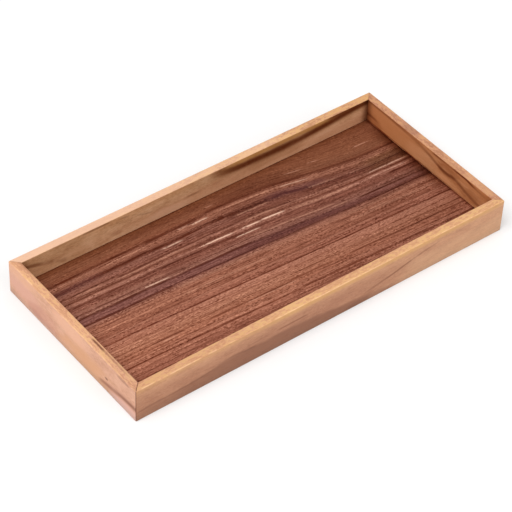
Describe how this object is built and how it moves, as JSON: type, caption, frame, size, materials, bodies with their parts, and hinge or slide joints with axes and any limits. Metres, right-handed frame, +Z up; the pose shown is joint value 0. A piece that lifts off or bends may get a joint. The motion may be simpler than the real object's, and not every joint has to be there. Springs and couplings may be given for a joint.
{
  "type": "rectangular wooden tray",
  "caption": "Shallow rectangular wooden tray: mitred rails with eased edges round a striped veneered floor panel held in a groove.",
  "frame": {"origin": "middle of the tray's underside, on the surface that it stands on", "axes": "+X along the tray's length, +Y across it to the back, +Z up out of the floor"},
  "size_m": [0.34, 0.16, 0.03],
  "materials": {
    "front_rail_wood": "satin oiled solid wood, grain along the rail",
    "back_rail_wood": "satin oiled solid wood, one dark streak inside",
    "left_rail_wood": "satin oiled solid wood, pale salmon tan",
    "right_rail_wood": "satin oiled solid wood, orange brown",
    "face_veneer": "satin open-pored striped veneer, grain along the tray",
    "core_ply": "raw cross-grained core",
    "back_veneer": "sanded plain veneer",
    "spline_wood": "sawn loose spline"
  },
  "bodies": {
    "root": {"front_rail": "front_rail_wood", "back_rail": "back_rail_wood", "left_end_rail": "left_rail_wood", "right_end_rail": "right_rail_wood", "floor_face_veneer": "face_veneer", "floor_core": "core_ply", "floor_back_veneer": "back_veneer", "front_left_spline": "spline_wood", "front_right_spline": "spline_wood", "back_left_spline": "spline_wood", "back_right_spline": "spline_wood"}
  },
  "joints": []
}
